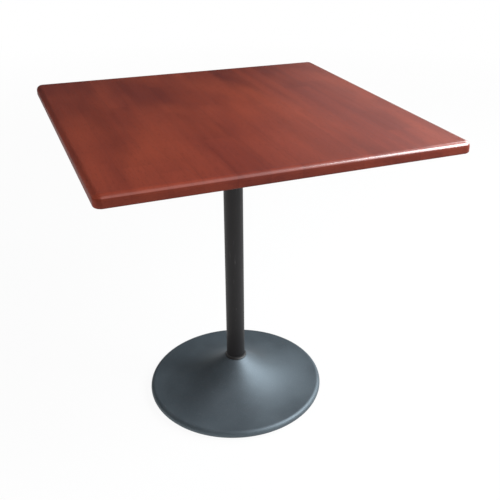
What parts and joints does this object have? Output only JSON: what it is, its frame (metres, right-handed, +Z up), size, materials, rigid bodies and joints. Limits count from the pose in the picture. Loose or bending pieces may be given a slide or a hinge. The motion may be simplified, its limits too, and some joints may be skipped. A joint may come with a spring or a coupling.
{
  "type": "bistro table",
  "caption": "Square wooden cafe tabletop on a round steel column and a trumpet-shaped pedestal base with screw-in levelling feet.",
  "frame": {"origin": "on the floor, in the middle under the column", "axes": "+Z up along the column, X along the front edge of the tabletop, Y from front to back"},
  "size_m": [0.75, 0.75, 0.75],
  "materials": {
    "stained_wood": "red-brown stained and lacquered hardwood staves, satin gloss",
    "bracket_casting": "black stoved paint on a ribbed iron casting",
    "black_powder_coat": "fine-textured black powder coat, satin",
    "grey_powder_coat": "slate grey powder coat, satin",
    "collar_plastic": "black moulded plastic",
    "gasket_rubber": "black rubber ring",
    "ballast_iron": "rough cast iron with a thin coat of grey primer",
    "zinc_steel": "bright zinc plating",
    "foot_nylon": "black moulded nylon, slightly scuffed"
  },
  "bodies": {
    "root": {"tabletop": "stained_wood", "top_spider": "bracket_casting", "spider_screws": "zinc_steel", "upper_tie_washer": "zinc_steel", "upper_tie_nut": "zinc_steel", "tie_rod": "zinc_steel", "column_tube": "black_powder_coat", "column_collar": "collar_plastic", "base_shell": "grey_powder_coat", "rim_gasket": "gasket_rubber", "ballast_plate": "ballast_iron", "lower_tie_washer": "zinc_steel", "lower_lock_washer": "zinc_steel", "lower_tie_nut": "zinc_steel"},
    "foot_1_pad": {"foot_pad_1": "foot_nylon"},
    "foot_1_stud": {"foot_stud_1": "zinc_steel"},
    "foot_2_pad": {"foot_pad_2": "foot_nylon"},
    "foot_2_stud": {"foot_stud_2": "zinc_steel"},
    "foot_3_pad": {"foot_pad_3": "foot_nylon"},
    "foot_3_stud": {"foot_stud_3": "zinc_steel"},
    "foot_4_pad": {"foot_pad_4": "foot_nylon"},
    "foot_4_stud": {"foot_stud_4": "zinc_steel"}
  },
  "joints": [
    {"name": "foot_1_height", "type": "slide", "parent": "root", "child": "foot_1_pad", "axis": [0, 0, -1], "range_m": [0, 0.006]},
    {"name": "foot_1_turn", "type": "hinge", "parent": "foot_1_pad", "child": "foot_1_stud", "pos_m": [0.1043, 0.1043, 0.009], "axis": [0, 0, -1], "range_deg": [0, 1728.5]},
    {"name": "foot_2_height", "type": "slide", "parent": "root", "child": "foot_2_pad", "axis": [0, 0, -1], "range_m": [0, 0.006]},
    {"name": "foot_2_turn", "type": "hinge", "parent": "foot_2_pad", "child": "foot_2_stud", "pos_m": [-0.1043, 0.1043, 0.009], "axis": [0, 0, -1], "range_deg": [0, 1728.5]},
    {"name": "foot_3_height", "type": "slide", "parent": "root", "child": "foot_3_pad", "axis": [0, 0, -1], "range_m": [0, 0.006]},
    {"name": "foot_3_turn", "type": "hinge", "parent": "foot_3_pad", "child": "foot_3_stud", "pos_m": [-0.1043, -0.1043, 0.009], "axis": [0, 0, -1], "range_deg": [0, 1728.5]},
    {"name": "foot_4_height", "type": "slide", "parent": "root", "child": "foot_4_pad", "axis": [0, 0, -1], "range_m": [0, 0.006]},
    {"name": "foot_4_turn", "type": "hinge", "parent": "foot_4_pad", "child": "foot_4_stud", "pos_m": [0.1043, -0.1043, 0.009], "axis": [0, 0, -1], "range_deg": [0, 1728.5]}
  ],
  "couplings": [
    {"joint": "foot_1_turn", "follows": "foot_1_height", "rad_per_m": 5026.5},
    {"joint": "foot_2_turn", "follows": "foot_2_height", "rad_per_m": 5026.5},
    {"joint": "foot_3_turn", "follows": "foot_3_height", "rad_per_m": 5026.5},
    {"joint": "foot_4_turn", "follows": "foot_4_height", "rad_per_m": 5026.5}
  ]
}
